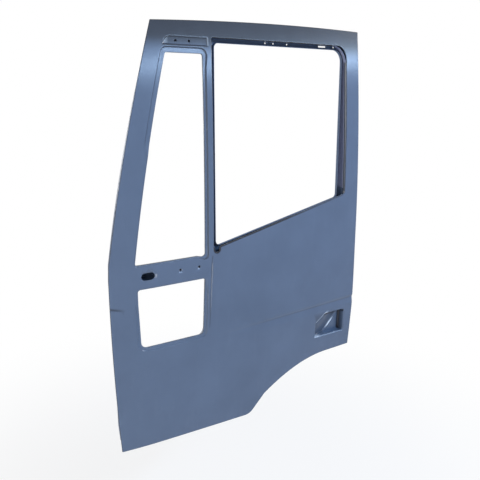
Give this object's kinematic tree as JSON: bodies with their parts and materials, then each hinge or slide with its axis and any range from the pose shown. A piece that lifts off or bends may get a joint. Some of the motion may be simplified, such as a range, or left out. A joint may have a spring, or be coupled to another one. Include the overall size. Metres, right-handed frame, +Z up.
{
  "type": "truck door shell",
  "caption": "Primed left door shell of a cab-over truck: hemmed skin with a large window, two fixed windows, handle recess and inner pressing.",
  "frame": {"origin": "middle of the lower hinge pad, on its outer face", "axes": "+X rearwards along the door, +Y inboard, +Z up"},
  "size_m": [1.1317, 0.085, 1.5389],
  "materials": {
    "belt_reinforcement_inner": "satin grey-blue primer",
    "belt_reinforcement_outer": "satin grey-blue primer",
    "check_strap_reinforcement": "satin grey-blue primer",
    "division_channel": "satin grey-blue primer",
    "front_channel_bracket": "satin grey-blue primer",
    "front_lower_channel": "satin grey-blue primer",
    "hinge_reinforcement_lower": "satin grey-blue primer",
    "hinge_reinforcement_upper": "satin grey-blue primer",
    "hinge_tapping_plate_lower": "zinc-plated steel",
    "hinge_tapping_plate_upper": "zinc-plated steel",
    "inner_panel": "satin grey-blue primer",
    "latch_reinforcement": "satin grey-blue primer",
    "mastic_pad_lower_front": "dark body mastic",
    "mastic_pad_lower_rear": "dark body mastic",
    "mastic_pad_upper_front": "dark body mastic",
    "mastic_pad_upper_rear": "dark body mastic",
    "mirror_nut_lower_front": "zinc-plated steel",
    "mirror_nut_lower_rear": "zinc-plated steel",
    "mirror_nut_upper_front": "zinc-plated steel",
    "mirror_nut_upper_rear": "zinc-plated steel",
    "mirror_reinforcement_lower": "satin grey-blue primer",
    "mirror_reinforcement_upper": "satin grey-blue primer",
    "outer_panel": "satin grey-blue primer",
    "pillar_reinforcement": "satin grey-blue primer",
    "rear_channel_bracket": "satin grey-blue primer",
    "rear_lower_channel": "satin grey-blue primer",
    "skin_stiffener": "satin grey-blue primer",
    "window_run_channel": "satin grey-blue primer"
  },
  "bodies": {
    "root": {"belt_reinforcement_inner": "belt_reinforcement_inner", "belt_reinforcement_outer": "belt_reinforcement_outer", "check_strap_reinforcement": "check_strap_reinforcement", "division_channel": "division_channel", "front_channel_bracket": "front_channel_bracket", "front_lower_channel": "front_lower_channel", "hinge_reinforcement_lower": "hinge_reinforcement_lower", "hinge_reinforcement_upper": "hinge_reinforcement_upper", "hinge_tapping_plate_lower": "hinge_tapping_plate_lower", "hinge_tapping_plate_upper": "hinge_tapping_plate_upper", "inner_panel": "inner_panel", "latch_reinforcement": "latch_reinforcement", "mastic_pad_lower_front": "mastic_pad_lower_front", "mastic_pad_lower_rear": "mastic_pad_lower_rear", "mastic_pad_upper_front": "mastic_pad_upper_front", "mastic_pad_upper_rear": "mastic_pad_upper_rear", "mirror_nut_lower_front": "mirror_nut_lower_front", "mirror_nut_lower_rear": "mirror_nut_lower_rear", "mirror_nut_upper_front": "mirror_nut_upper_front", "mirror_nut_upper_rear": "mirror_nut_upper_rear", "mirror_reinforcement_lower": "mirror_reinforcement_lower", "mirror_reinforcement_upper": "mirror_reinforcement_upper", "outer_panel": "outer_panel", "pillar_reinforcement": "pillar_reinforcement", "rear_channel_bracket": "rear_channel_bracket", "rear_lower_channel": "rear_lower_channel", "skin_stiffener": "skin_stiffener", "window_run_channel": "window_run_channel"}
  },
  "joints": []
}
